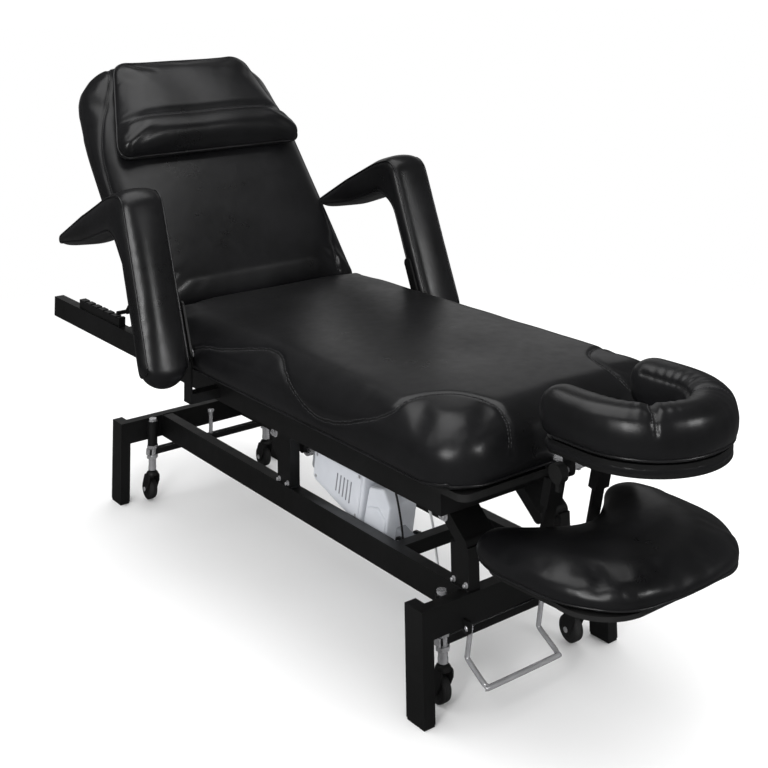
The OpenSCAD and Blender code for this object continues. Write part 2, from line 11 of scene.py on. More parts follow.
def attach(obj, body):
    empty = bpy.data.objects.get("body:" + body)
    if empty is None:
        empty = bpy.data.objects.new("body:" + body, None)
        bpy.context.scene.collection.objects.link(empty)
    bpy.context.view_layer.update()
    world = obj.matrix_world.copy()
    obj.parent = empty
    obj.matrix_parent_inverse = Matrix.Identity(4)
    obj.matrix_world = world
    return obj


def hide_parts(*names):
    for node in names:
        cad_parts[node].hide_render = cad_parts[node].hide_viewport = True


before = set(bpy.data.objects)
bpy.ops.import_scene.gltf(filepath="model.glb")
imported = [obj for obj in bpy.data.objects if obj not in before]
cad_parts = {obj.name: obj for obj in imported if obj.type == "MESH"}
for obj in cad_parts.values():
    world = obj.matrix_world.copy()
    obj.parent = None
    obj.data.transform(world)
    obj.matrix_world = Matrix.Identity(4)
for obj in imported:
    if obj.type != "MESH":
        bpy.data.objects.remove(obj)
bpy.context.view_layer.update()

MM = 0.001
# The meshes are drawn about the centre of the base; this moves them to the bed's origin.
SHIFT = 0.0415
PLACED = Matrix.Translation((0, SHIFT, 0))
RECLINE = math.radians(48)
HINGE = Vector((0, 0.345, 0.445))

# Driving sizes in mm, about the centre of the base.
COUCH_HALF = 300
SEAT_FRONT, SEAT_REAR, SEAT_LOW, SEAT_TOP = -775, 298, 426, 531
COLUMN_X, LIFT_ARM_X, LIFT_Z = 128, 185, 375
REAR_PIVOT_Y, FRONT_PIVOT_Y = 0, -455
REAR_COLUMN_Y, FRONT_COLUMN_Y = 0, -590
BEAM_TOP, RAIL_X = 188, 214
CASTER_X, AXLE_Z, TRAIL = 165, 26.5, 12
CASTER_ENDS = (("front", -582, 102), ("rear", 550, 108))
SIDES = (("left", -1), ("right", 1))


# ---------------------------------------------------------------- materials

NOISE_SPAN = (0.35, 0.65)
SPECK_SHARE = 0.35


def node(nt, kind, **inputs):
    n = nt.nodes.new(kind)
    for k, v in inputs.items():
        n.inputs[k.replace("_", " ")].default_value = v
    return n


def ramp(nt, source, lo, hi):
    """Maps a noise value, which mostly lies in NOISE_SPAN, to the range lo..hi."""
    m = nt.nodes.new("ShaderNodeMapRange")
    m.inputs["From Min"].default_value, m.inputs["From Max"].default_value = NOISE_SPAN
    m.inputs["To Min"].default_value = lo
    m.inputs["To Max"].default_value = hi
    nt.links.new(source, m.inputs["Value"])
    return m.outputs["Result"]


def surface(name, dark, light, rough, metal=0.0, coat=0.0, layers=(), patch=8.0, coat_rough=0.2):
    """A finish that varies over the part: two tones, a roughness range and stacked bump layers.
    Each layer is (kind, scale per metre, strength, depth in metres)."""
    m = bpy.data.materials.new(name)
    m.use_nodes = True
    nt = m.node_tree
    b = nt.nodes["Principled BSDF"]
    tc = nt.nodes.new("ShaderNodeTexCoord")
    cloud = node(nt, "ShaderNodeTexNoise", Scale=patch, Detail=5.0, Roughness=0.6)
    speck = node(nt, "ShaderNodeTexNoise", Scale=patch * 9, Detail=3.0)
    for n in (cloud, speck):
        nt.links.new(tc.outputs["Object"], n.inputs["Vector"])
    mix = nt.nodes.new("ShaderNodeMixRGB")
    mix.inputs["Color1"].default_value = (*dark, 1)
    mix.inputs["Color2"].default_value = (*light, 1)
    nt.links.new(ramp(nt, cloud.outputs["Fac"], 0, 1), mix.inputs["Fac"])
    nt.links.new(mix.outputs["Color"], b.inputs["Base Color"])
    both = nt.nodes.new("ShaderNodeMath")
    both.operation = "MULTIPLY_ADD"
    both.inputs[1].default_value = SPECK_SHARE
    nt.links.new(speck.outputs["Fac"], both.inputs[0])
    scaled = nt.nodes.new("ShaderNodeMath")
    scaled.operation = "MULTIPLY"
    scaled.inputs[1].default_value = 1 - SPECK_SHARE
    nt.links.new(cloud.outputs["Fac"], scaled.inputs[0])
    nt.links.new(scaled.outputs[0], both.inputs[2])
    nt.links.new(ramp(nt, both.outputs[0], *rough), b.inputs["Roughness"])
    b.inputs["Metallic"].default_value = metal
    b.inputs["Coat Weight"].default_value = coat
    b.inputs["Coat Roughness"].default_value = coat_rough
    normal = None
    for kind, scale, strength, depth in layers:
        if kind == "cells":
            t = node(nt, "ShaderNodeTexVoronoi", Scale=scale)
            out = t.outputs["Distance"]
        elif kind == "folds":
            t = node(nt, "ShaderNodeTexNoise", Scale=scale, Detail=2.0)
            out = t.outputs["Fac"]
        else:
            t = node(nt, "ShaderNodeTexNoise", Scale=scale, Detail=4.0, Roughness=0.65)
            out = t.outputs["Fac"]
        nt.links.new(tc.outputs["Object"], t.inputs["Vector"])
        bump = node(nt, "ShaderNodeBump", Strength=strength, Distance=depth)
        nt.links.new(out, bump.inputs["Height"])
        if normal:
            nt.links.new(normal, bump.inputs["Normal"])
        normal = bump.outputs["Normal"]
    if normal:
        nt.links.new(normal, b.inputs["Normal"])
    return m


def grey(v, tint=0.0):
    return (v, v, v * (1 + tint))


VINYL = surface("black_vinyl", grey(0.0035, 0.1), grey(0.0060, 0.15), (0.27, 0.38), coat=0.05,
                coat_rough=0.2, patch=5.5,
                layers=(("folds", 7, 0.35, 0.004), ("folds", 23, 0.22, 0.0016),
                        ("cells", 640, 0.16, 0.0004), ("grain", 1500, 0.1, 0.0002)))
WELT = surface("welt_vinyl", grey(0.004, 0.1), grey(0.009, 0.1), (0.26, 0.38), coat=0.08,
               patch=14, layers=(("folds", 90, 0.35, 0.0006), ("cells", 800, 0.14, 0.0003)))
THREAD = surface("thread", grey(0.028, 0.05), grey(0.05, 0.05), (0.45, 0.6), patch=60,
                 layers=(("grain", 2600, 0.5, 0.0002),))
GROOVE = surface("seam_shadow", grey(0.003), grey(0.006), (0.6, 0.8), patch=20)
COAT = surface("black_powdercoat", grey(0.0035), grey(0.0060, 0.05), (0.36, 0.5), patch=4.5,
               layers=(("grain", 520, 0.14, 0.0004), ("grain", 1900, 0.1, 0.0002)))
CHROME = surface("bright_chrome", grey(0.62, 0.03), grey(0.78, 0.03), (0.08, 0.2), metal=0.72, patch=16,
                 layers=(("grain", 240, 0.05, 0.0002),))
ZINC = surface("zinc_plate", grey(0.42, 0.02), grey(0.6, 0.03), (0.22, 0.42), metal=0.65, patch=40,
               layers=(("grain", 700, 0.2, 0.0002),))
GREY = surface("grey_plastic", (0.50, 0.52, 0.56), (0.60, 0.62, 0.66), (0.4, 0.56), patch=6,
               layers=(("grain", 900, 0.16, 0.0003),))
# The grey plastic made darker as painted shade, for the clevis, the tube collar and the lid ribs of the
# actuator.
GREY_PAINTED_SHADE = surface("grey_plastic_painted_shade", (0.22, 0.23, 0.25), (0.28, 0.29, 0.31), (0.45, 0.6), patch=8,
                    layers=(("grain", 900, 0.16, 0.0003),))
BLACK = surface("black_plastic", grey(0.005), grey(0.010), (0.38, 0.55), patch=9,
                layers=(("grain", 820, 0.18, 0.0003),))
RUBBER = surface("wheel_rubber", grey(0.008), grey(0.016), (0.55, 0.75), patch=22,
                 layers=(("grain", 420, 0.3, 0.0004),))
BOARD = surface("board_paint", grey(0.006), grey(0.011), (0.5, 0.7), patch=12,
                layers=(("folds", 60, 0.3, 0.0004), ("grain", 400, 0.3, 0.0003)))
LINING = surface("black_lining", grey(0.006), grey(0.012), (0.75, 0.9), patch=25,
                 layers=(("cells", 900, 0.4, 0.0004),))
SHEATH = surface("white_sheath", (0.66, 0.67, 0.68), (0.76, 0.77, 0.78), (0.35, 0.5), patch=30,
                 layers=(("grain", 600, 0.1, 0.0002),))


# ---------------------------------------------------------------- mesh helpers

def add(name, verts, faces, material, body, smooth=True):
    me = bpy.data.meshes.new(name)
    me.from_pydata([tuple(v) for v in verts], [], faces)
    me.update()
    o = bpy.data.objects.new(name, me)
    bpy.context.scene.collection.objects.link(o)
    finish_piece(o, material, body, smooth)
    return o


def finish_piece(o, material, body, smooth=True):
    o.data.materials.clear()
    o.data.materials.append(material)
    for p in o.data.polygons:
        p.use_smooth = smooth
    o.matrix_world = PLACED
    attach(o, body)
    return o


def hand(sx):
    """The side's letter in a piece name."""
    return "l" if sx < 0 else "r"


def join(verts, faces, more):
    """Adds a second mesh to the lists of the first."""
    more_verts, more_faces = more
    faces += [tuple(i + len(verts) for i in f) for f in more_faces]
    verts += more_verts


def face_outwards(o):
    bm = bmesh.new()
    bm.from_mesh(o.data)
    bmesh.ops.recalc_face_normals(bm, faces=bm.faces)
    bm.to_mesh(o.data)
    bm.free()


def bevel(o, width=1.5, segments=2, angle=35):
    b = o.modifiers.new("bevel", "BEVEL")
    b.width = width * MM
    b.segments = segments
    b.limit_method = "ANGLE"
    b.angle_limit = math.radians(angle)
    b.harden_normals = True
    return o


def smooth_path(points, step=0.006, closed=False):
    """A Catmull-Rom curve through the points, resampled at an even step."""
    p = [Vector(q) for q in points]
    n = len(p)
    dense = []
    for i in range(n if closed else n - 1):
        a = p[(i - 1) % n] if closed or i else p[0] * 2 - p[1]
        b, c = p[i], p[(i + 1) % n]
        d = p[(i + 2) % n] if closed or i + 2 < n else p[-1] * 2 - p[-2]
        for k in range(24):
            t = k / 24
            dense.append(0.5 * ((2 * b) + (c - a) * t + (2 * a - 5 * b + 4 * c - d) * t * t
                                + (3 * b - a - 3 * c + d) * t * t * t))
    dense.append(p[0] if closed else p[-1])
    out, left = [dense[0].copy()], step
    for a, b in zip(dense, dense[1:]):
        seg = (b - a).length
        while seg > left > 0 and seg > 1e-9:
            a = a + (b - a) * (left / seg)
            out.append(a.copy())
            seg = (b - a).length
            left = step
        left -= seg
    return out


def tube_mesh(path, radius, sides=10, closed=False, squash=1.0, ups=None):
    """Rings along the path, with round ends. squash flattens the section along its up side."""
    pts = [Vector(p) for p in path]
    n = len(pts)
    verts, faces = [], []
    side = None
    for i, p in enumerate(pts):
        a = pts[(i - 1) % n] if closed or i else p
        b = pts[(i + 1) % n] if closed or i + 1 < n else p
        t = (b - a).normalized()
        if ups:
            u = ups[i]
        elif side is None:
            u = Vector((0, 0, 1)) if abs(t.z) < 0.9 else Vector((1, 0, 0))
        else:
            u = side
        w = t.cross(u).normalized()
        u = w.cross(t).normalized()
        side = u
        for k in range(sides):
            q = 2 * math.pi * k / sides
            verts.append(p + (w * math.cos(q) + u * math.sin(q) * squash) * radius)
    for i in range(n if closed else n - 1):
        j = (i + 1) % n
        for k in range(sides):
            m = (k + 1) % sides
            faces.append((i * sides + k, j * sides + k, j * sides + m, i * sides + m))
    if not closed:
        for i, sign in ((0, -1), (n - 1, 1)):
            t = (pts[1] - pts[0] if i == 0 else pts[-1] - pts[-2]).normalized()
            tip = len(verts)
            verts.append(pts[i] + t * sign * radius * 0.5)
            for k in range(sides):
                m = (k + 1) % sides
                f = (i * sides + k, i * sides + m, tip)
                faces.append(f if sign < 0 else f[::-1])
    return verts, faces


def tube(name, path, radius, material, body, **kw):
    v, f = tube_mesh(path, radius, **kw)
    return add(name, v, f, material, body)


def lathe_mesh(profile, centre, axis, sides=40):
    """Turns a profile of (along, radius) about an axis through the centre, all in mm."""
    axis = Vector(axis).normalized()
    u = axis.orthogonal().normalized()
    w = axis.cross(u)
    verts, faces = [], []
    for along, r in profile:
        for k in range(sides):
            q = 2 * math.pi * k / sides
            verts.append((Vector(centre) + axis * along + (u * math.cos(q) + w * math.sin(q)) * r) * MM)
    for i in range(len(profile) - 1):
        for k in range(sides):
            m = (k + 1) % sides
            faces.append((i * sides + k, i * sides + m, (i + 1) * sides + m, (i + 1) * sides + k))
    faces.append(tuple(range(sides))[::-1])
    faces.append(tuple(range((len(profile) - 1) * sides, len(profile) * sides)))
    return verts, faces


def lathe(name, profile, centre, axis, material, body, sides=40):
    v, f = lathe_mesh(profile, centre, axis, sides)
    o = add(name, v, f, material, body)
    bevel(o, 0.6, 2, 50)
    return o


def fillet(corners, step=9):
    """A closed outline from (x, y, radius) corners, in order."""
    out = []
    n = len(corners)
    for i, (x, y, r) in enumerate(corners):
        p = Vector((x, y))
        a = Vector(corners[i - 1][:2]) - p
        b = Vector(corners[(i + 1) % n][:2]) - p
        half = a.angle(b) / 2
        cut = min(r / math.tan(half), a.length * 0.48, b.length * 0.48)
        r = cut * math.tan(half)
        start, end = p + a.normalized() * cut, p + b.normalized() * cut
        centre = p + (a.normalized() + b.normalized()).normalized() * (r / math.sin(half))
        s, e = start - centre, end - centre
        turn = s.angle_signed(e)
        count = max(2, int(abs(math.degrees(turn)) / step))
        for k in range(count + 1):
            q = -turn * k / count
            c = Vector((s.x * math.cos(q) - s.y * math.sin(q), s.x * math.sin(q) + s.y * math.cos(q)))
            out.append(centre + c)
    return out


def densify(outline, step=0.012):
    out = []
    n = len(outline)
    for i in range(n):
        a, b = outline[i], outline[(i + 1) % n]
        k = max(1, int((b - a).length / step))
        out += [a + (b - a) * (j / k) for j in range(k)]
    return out


def to_world(matrix, verts):
    m = np.array(matrix)
    return verts @ m[:3, :3].T + m[:3, 3]


def pad(name, corners, z0, z1, roll, body, matrix=Matrix(), voxel=7.5, top=2.3, low=5.0, crown=10.0,
        belly=0.0, pressure=4.0, cap=7.0, shape=None, extra=None):
    """An upholstered pad: an outline with a soft rolled edge, crowned, then inflated by a short
    cloth run with its underside held. corners are (x, y, radius) in mm, z0..z1 in mm."""
    outline = densify([Vector((p.x * MM, p.y * MM)) for p in fillet(corners)])
    area = sum(a.x * b.y - b.x * a.y for a, b in zip(outline, outline[1:] + outline[:1]))
    if area < 0:
        outline.reverse()
    bm = bmesh.new()
    low_ring = [bm.verts.new((p.x, p.y, z0 * MM)) for p in outline]
    top_ring = [bm.verts.new((p.x, p.y, z1 * MM)) for p in outline]
    bm.faces.new(top_ring)
    bm.faces.new(low_ring[::-1])
    n = len(outline)
    for i in range(n):
        j = (i + 1) % n
        bm.faces.new((low_ring[i], low_ring[j], top_ring[j], top_ring[i]))
    me = bpy.data.meshes.new(name)
    bm.to_mesh(me)
    bm.free()
    o = bpy.data.objects.new(name, me)
    bpy.context.scene.collection.objects.link(o)
    r = o.modifiers.new("remesh", "REMESH")
    r.mode = "VOXEL"
    r.voxel_size = voxel * MM * 1.0
    bake(o)
    co = coords(o)

    ring = np.array([(p.x, p.y) for p in outline])
    nxt = np.roll(ring, -1, axis=0)
    seg = nxt - ring
    nrm = np.stack([-seg[:, 1], seg[:, 0]], 1)
    nrm /= np.linalg.norm(nrm, axis=1)[:, None]
    d, inward = nearest(co[:, :2], ring, seg, nrm)
    zc, half = (z0 + z1) / 2 * MM, (z1 - z0) / 2 * MM
    t = np.clip((co[:, 2] - zc) / half, -1, 1)
    e = np.clip(1 - d / (roll * MM), 0, 1)
    k = np.where(t > 0, top, low)
    s = 1 / np.maximum((e ** k + np.abs(t) ** k) ** (1 / k), 1e-6)
    s = np.minimum(s, 1)
    edge, height = e * s, t * s
    co[:, :2] += inward * ((e - edge) * roll * MM)[:, None]
    co[:, :2] -= inward * (belly * MM * np.maximum(0, 1 - height ** 2) * (e > 0.98))[:, None]
    co[:, 2] = zc + height * half
    rise = 1 - np.exp(-(d / (roll * 1.9 * MM)) ** 2)
    co[:, 2] += crown * MM * rise * (height > 0.5)
    if shape:
        co = shape(co)
    set_coords(o, co)
    relax(o, 4)
    inflate(o, coords(o)[:, 2] < z0 * MM + half * 0.35, pressure, cap)
    relax(o, 8)
    if extra:
        set_coords(o, extra(coords(o)))
    set_coords(o, to_world(matrix, coords(o)))
    sub = o.modifiers.new("smooth", "SUBSURF")
    sub.levels = sub.render_levels = 1
    bake(o)
    finish_piece(o, VINYL, body)
    return o


def nearest(xy, ring, seg, nrm):
    """Distance to the outline and the unit direction inwards, blended over nearby segments."""
    best = np.full(len(xy), 1e9)
    away = np.zeros((len(xy), 2))
    length2 = (seg ** 2).sum(1)
    blend = np.zeros((len(xy), 2))
    for a, s, l2, n in zip(ring, seg, length2, nrm):
        rel = xy - a
        t = np.clip((rel @ s) / l2, 0, 1)
        dist = np.linalg.norm(rel - t[:, None] * s, axis=1)
        best = np.minimum(best, dist)
        w = np.exp(-np.minimum((dist / 0.012) ** 2, 60))
        blend += w[:, None] * n
    size = np.linalg.norm(blend, axis=1)
    ok = size > 1e-12
    away[ok] = blend[ok] / size[ok][:, None]
    return best, away


def coords(o):
    co = np.zeros(len(o.data.vertices) * 3)
    o.data.vertices.foreach_get("co", co)
    return co.reshape(-1, 3)


def set_coords(o, co):
    o.data.vertices.foreach_set("co", co.reshape(-1))
    o.data.update()


def bake(o):
    """Turns the modifiers into plain geometry."""
    dg = bpy.context.evaluated_depsgraph_get()
    me = bpy.data.meshes.new_from_object(o.evaluated_get(dg), depsgraph=dg)
    old = o.data
    o.modifiers.clear()
    o.data = me
    bpy.data.meshes.remove(old)


def relax(o, times):
    m = o.modifiers.new("relax", "SMOOTH")
    m.factor = 0.5
    m.iterations = times
    bake(o)


CLOTH_FRAMES = 12


def inflate(o, held, pressure, cap):
    """Swells a pad as cloth under pressure. No point moves further than cap, in mm."""
    before = coords(o)
    group = o.vertex_groups.new(name="held")
    group.add([int(i) for i in np.nonzero(held)[0]], 1.0, "REPLACE")
    m = o.modifiers.new("fill", "CLOTH")
    c = m.settings
    c.vertex_group_mass = "held"
    c.quality = 4
    c.mass = 0.35
    c.tension_stiffness = c.compression_stiffness = 22
    c.shear_stiffness = 8
    c.bending_stiffness = 3
    c.use_pressure = True
    c.uniform_pressure_force = pressure
    c.effector_weights.gravity = 0
    m.point_cache.frame_start, m.point_cache.frame_end = 1, CLOTH_FRAMES
    for f in range(1, CLOTH_FRAMES + 1):
        bpy.context.scene.frame_set(f)
    bake(o)
    bpy.context.scene.frame_set(1)
    after = coords(o)
    move = after - before
    size = np.linalg.norm(move, axis=1)
    scale = np.minimum(1, cap * MM / np.maximum(size, 1e-9))
    set_coords(o, before + move * scale[:, None])
    o.vertex_groups.clear()


def tree(o):
    bm = bmesh.new()
    bm.from_mesh(o.data)
    t = BVHTree.FromBMesh(bm)
    bm.free()
    return t


def snap(surface_tree, points, lift=0.0):
    """The points moved onto the surface, and the surface normals there."""
    at, up = [], []
    for p in points:
        q, n, _, _ = surface_tree.find_nearest(Vector(p))
        at.append(q + n * lift * MM)
        up.append(n)
    return at, up


def crease(o, path, depth, width):
    """Presses a sewn line into a pad."""
    kd = KDTree(len(path))
    for i, p in enumerate(path):
        kd.insert(p, i)
    kd.balance()
    co = coords(o)
    no = np.zeros_like(co).reshape(-1)
    o.data.vertices.foreach_get("normal", no)
    no = no.reshape(-1, 3)
    for i in range(len(co)):
        _, _, d = kd.find(co[i])
        if d < width * 3 * MM:
            co[i] -= no[i] * depth * MM * math.exp(-(d / (width * MM)) ** 2)
    set_coords(o, co)


def seam(name, o, points, body, stitched=True, depth=3.0, width=5.0, gap=3.2, pitch=6.5, matrix=None):
    """A sewn seam on a pad: a pressed groove, a dark line and rows of stitches beside it."""
    if matrix is not None:
        points = [matrix @ Vector(p) for p in points]
    t = tree(o)
    path, _ = snap(t, smooth_path(points, 0.004))
    crease(o, path, depth, width)
    t = tree(o)
    path, ups = snap(t, path, -0.15)
    tube(name + "_line", path, 0.8 * MM, GROOVE, body, sides=6, ups=ups, squash=0.6)
    if stitched:
        verts, faces = [], []
        for sgn in (-1, 1):
            run = smooth_path(path, pitch * MM)
            for a, b in zip(run, run[1:]):
                mid = (a + b) / 2
                _, n, _, _ = t.find_nearest(mid)
                along = (b - a).normalized()
                across = along.cross(n).normalized()
                q, n, _, _ = t.find_nearest(mid + across * sgn * gap * MM)
                stitch(verts, faces, q + n * 0.2 * MM, along, n, across, pitch * 0.33 * MM)
        add(name + "_stitches", verts, faces, THREAD, body)


def stitch(verts, faces, at, along, up, across, half):
    """One stitch: a short thread whose ends go down into the vinyl."""
    base = len(verts)
    for k, r in ((-1, 0.25), (-0.6, 0.62), (0.6, 0.62), (1, 0.25)):
        drop = -0.25 * MM if abs(k) == 1 else 0
        for q in range(6):
            a = math.pi * q / 3
            verts.append(at + along * half * k + up * (drop + math.sin(a) * r * MM)
                         + across * math.cos(a) * r * MM)
    for i in range(3):
        for q in range(6):
            m = (q + 1) % 6
            faces.append((base + i * 6 + q, base + i * 6 + m, base + (i + 1) * 6 + m,
                          base + (i + 1) * 6 + q))


def welt(name, o, points, body, radius=2.6, closed=True, lift=0.6, matrix=None):
    """Piping laid along the surface of a pad."""
    if matrix is not None:
        points = [matrix @ Vector(p) for p in points]
    t = tree(o)
    path, _ = snap(t, smooth_path(points, 0.006, closed), lift)
    if closed:
        path = path[:-1]
    return tube(name, path, radius * MM, WELT, body, sides=10, closed=closed)


def noise3(co, scale, seed=0.0):
    """Smooth pseudo-random displacement from a few waves; the same on every run."""
    x, y, z = (co * scale + seed).T
    return (np.sin(x * 1.3 + 2.1 * np.sin(y * 0.7 + 1.7)) + np.sin(y * 1.1 + 1.6 * np.sin(z * 0.9 + 0.4))
            + np.sin(z * 1.7 + 1.9 * np.sin(x * 0.8 + 2.6))) / 3


# ---------------------------------------------------------------- steel frame and hardware

STEEL_NODES = ("base_frame", "bed_frame", "rear_lift_arm", "front_lift_arm", "prop_racks",
               "backrest_prop", "armrest_plate_left", "armrest_plate_right", "cradle_sockets",
               "arm_shelf_hangers", "arm_shelf_bars")
BRIGHT_NODES = ("lower_pivot_pins", "upper_pivot_pins", "backrest_hinge_pins", "actuator_foot_pin",
                "armrest_bolt_left", "armrest_bolt_right", "column_bolts")
OTHER_NODES = {"leg_glides": BLACK, "rail_end_caps": BLACK, "seat_board": BOARD, "backrest_board": BOARD,
               "arm_shelf_board": BOARD, "cradle_rods": CHROME, "actuator_tube": CHROME,
               "actuator_rod": CHROME}


def paint(name, material, width=1.5, segments=2):
    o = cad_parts[name]
    o.data.materials.clear()
    o.data.materials.append(material)
    for p in o.data.polygons:
        p.use_smooth = True
    bevel(o, width, segments, 32)


for n in STEEL_NODES:
    paint(n, COAT, 2.2 if n in ("base_frame", "bed_frame") else 1.2)
for n in BRIGHT_NODES:
    paint(n, ZINC, 0.7)
for n, m in OTHER_NODES.items():
    paint(n, m, 0.8)


def bead(name, points, body, radius=2.0):
    """A weld bead: a thick line with ripples."""
    path = smooth_path(points, 0.0022)
    verts, faces = tube_mesh(path, radius * MM, sides=8)
    for i in range(len(path)):
        s = 1 + 0.16 * math.sin(i * 2.4)
        for k in range(8):
            v = verts[i * 8 + k]
            verts[i * 8 + k] = path[i] + (v - path[i]) * s
    return add(name, verts, faces, COAT, body)


def corner_line(a, b):
    return [Vector(a) * MM, (Vector(a) + Vector(b)) / 2 * MM, Vector(b) * MM]


# Each weld is (x, y, z) to (x, y, z): the legs, the cross beams, then the feet of the columns.
FOOT_Z = BEAM_TOP + 1
BASE_WELDS = (
    ((215, -597, 186.5), (215, -597, 140)), ((215, 597, 186.5), (215, 597, 140)),
    ((103, -593.5, BEAM_TOP), (128, -593.5, BEAM_TOP)), ((103, 568.5, BEAM_TOP), (128, 568.5, BEAM_TOP)),
    ((104, -563.5, FOOT_Z), (127, -563.5, FOOT_Z)), ((104, -26.5, FOOT_Z), (127, -26.5, FOOT_Z)),
    ((104, 26.5, FOOT_Z), (127, 26.5, FOOT_Z)), ((129.2, -24, FOOT_Z), (129.2, 24, FOOT_Z)),
    ((129.2, -614, FOOT_Z), (129.2, -566, FOOT_Z)))
SLAT_EDGES = (-445, -395, -150, -100, 305, 355, 535, 585)
weld_at = 0
for sx in (-1, 1):
    for ends in BASE_WELDS:
        a, b = [(sx * x, y, z) for x, y, z in ends]
        bead(f"base_weld_{weld_at:02d}", corner_line(a, b), "base", 1.8)
        weld_at += 1
for i, y in enumerate(SLAT_EDGES):
    outside = y + (-0.8 if i % 2 == 0 else 0.8)
    for sx in (-1, 1):
        bead(f"slat_weld_{i}_{hand(sx)}",
             corner_line((sx * RAIL_X, outside, 410), (sx * RAIL_X, outside, 394)), "upper", 1.5)


def bolt(name, at, axis, body, head=7.0, washer=9.5, tip=True):
    """A washer, a hexagon nut with rounded corners and the end of the thread."""
    verts, faces = lathe_mesh([(0, washer), (1.6, washer), (1.7, 0.4)], at, axis, 32)
    join(verts, faces, lathe_mesh([(1.5, head), (6.6, head), (7.4, head * 0.82)], at, axis, 6))
    if tip:
        thread = [(7.2 + i * 0.45, 3.1 if i % 2 else 3.5) for i in range(9)]
        join(verts, faces, lathe_mesh(thread, at, axis, 20))
    o = add(name, verts, faces, ZINC, body, smooth=False)
    bevel(o, 0.5, 2, 40)
    return o


bolts = 0
for sx in (-1, 1):
    for y, z in ((REAR_COLUMN_Y + 35, 288), (FRONT_COLUMN_Y + 42, 297)):
        o = bolt(f"column_bolt_{bolts}", (sx * COLUMN_X, y, z), (sx, 0, 0), "base", 8.0, 11.0)
        if bolts == 0:
            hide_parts("column_bolts")
        bolts += 1
    for y in (FRONT_COLUMN_Y, REAR_COLUMN_Y):
        for dy in (-17, 17):
            bolt(f"foot_screw_{bolts}", (sx * COLUMN_X, y + dy, BEAM_TOP + 9), (sx, 0, 0), "base", 3.6, 5.2,
                 tip=False)
            bolts += 1
    for y in (REAR_PIVOT_Y, FRONT_PIVOT_Y):
        bolt(f"arm_end_nut_{bolts}", (sx * LIFT_ARM_X, y, LIFT_Z), (sx, 0, 0), "base", 9.0, 11.5)
        bolts += 1


# ---------------------------------------------------------------- casters and pedal

def caster(end, side, x, y):
    body = f"fork_{end}_{side}"
    wheel = f"wheel_{end}_{side}"
    axle = Vector((x, y + TRAIL, AXLE_Z))
    verts, faces = [], []
    outline = [(-13, 63), (13, 63), (22, 44), (TRAIL + 10, AXLE_Z - 4), (TRAIL + 5, AXLE_Z - 10),
               (TRAIL - 5, AXLE_Z - 10), (TRAIL - 11, AXLE_Z - 2), (-12, 48)]
    ring = fillet([(a, b, 6) for a, b in outline], 14)
    for s in (-1, 1):
        base = len(verts)
        for k in (11.2, 14.6):
            verts += [Vector((x + s * k, y + p.x, p.y)) * MM for p in ring]
        m = len(ring)
        faces += [tuple(base + i for i in range(m)), tuple(base + m + i for i in range(m))[::-1]]
        faces += [(base + i, base + (i + 1) % m, base + m + (i + 1) % m, base + m + i) for i in range(m)]
    crown = [(0, 14.4), (5, 14.8), (9, 12), (11, 8.5)]
    join(verts, faces, lathe_mesh(crown, (x, y, 59.5), (0, 0, 1), 32))
    fork = add(f"fork_shell_{end}_{side}", verts, faces, BLACK, body)
    face_outwards(fork)
    bevel(fork, 1.1, 2, 40)
    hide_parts(f"caster_fork_{end}_{side}")
    for s in (-1, 1):
        lathe(f"axle_cap_{end}_{side}_{'a' if s < 0 else 'b'}", [(0, 5.2), (1.6, 5.2), (2.6, 3.6)],
              axle + Vector((s * 14.4, 0, 0)), (s, 0, 0), ZINC, body, 24)
    lathe(f"stem_socket_{end}_{side}", [(0, 9.6), (7, 9.6), (9, 9.2)], (x, y, 72.5), (0, 0, 1), CHROME,
          f"{end}_casters", 32)
    tread = [(-9.5, 18), (-9.5, 22.4), (-8.2, 24.4), (-5, 24.9), (-4.4, 24.2), (-3.8, 24.9), (3.8, 24.9),
             (4.4, 24.2), (5, 24.9), (8.2, 24.4), (9.5, 22.4), (9.5, 18)]
    tyre = lathe(f"tyre_{end}_{side}", tread, axle, (1, 0, 0), RUBBER, wheel, 56)
    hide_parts(f"caster_wheel_{end}_{side}")
    hub = [(-9.8, 4), (-9.8, 7), (-7.4, 8), (-7.0, 15.5), (-9.7, 17), (-9.7, 18.6), (9.7, 18.6), (9.7, 17),
           (7.0, 15.5), (7.4, 8), (9.8, 7), (9.8, 4)]
    lathe(f"hub_{end}_{side}", hub, axle, (1, 0, 0), BLACK, wheel, 40)


def caster_bar(end, y, z):
    """The painted sleeve round a caster bar, and the nuts above and below it."""
    bar = [Vector((x, y, z + 7)) * MM for x in np.linspace(-176, 176, 12)]
    verts, faces = [], []
    for p in bar:
        for dy, dz in ((-7.4, -7.4), (7.4, -7.4), (7.4, 7.4), (-7.4, 7.4)):
            verts.append(p + Vector((0, dy, dz)) * MM)
    for i in range(0, len(verts) - 4, 4):
        faces += [(i + k, i + (k + 1) % 4, i + 4 + (k + 1) % 4, i + 4 + k) for k in range(4)]
    faces += [(3, 2, 1, 0), tuple(range(len(verts) - 4, len(verts)))]
    sleeve = add(f"caster_bar_sleeve_{end}", verts, faces, COAT, f"{end}_casters", smooth=False)
    bevel(sleeve, 1.6, 3, 40)
    for sx in (-1, 1):
        for dz, way, level in ((15.2, 1, "t"), (-1.2, -1, "b")):
            v, f = lathe_mesh([(0, 14), (7, 14), (7.6, 12.6)], (sx * CASTER_X, y, z + dz), (0, 0, way), 6)
            nut = add(f"bar_nut_{end}_{hand(sx)}_{level}", v, f, ZINC, f"{end}_casters", smooth=False)
            bevel(nut, 0.8, 2, 40)


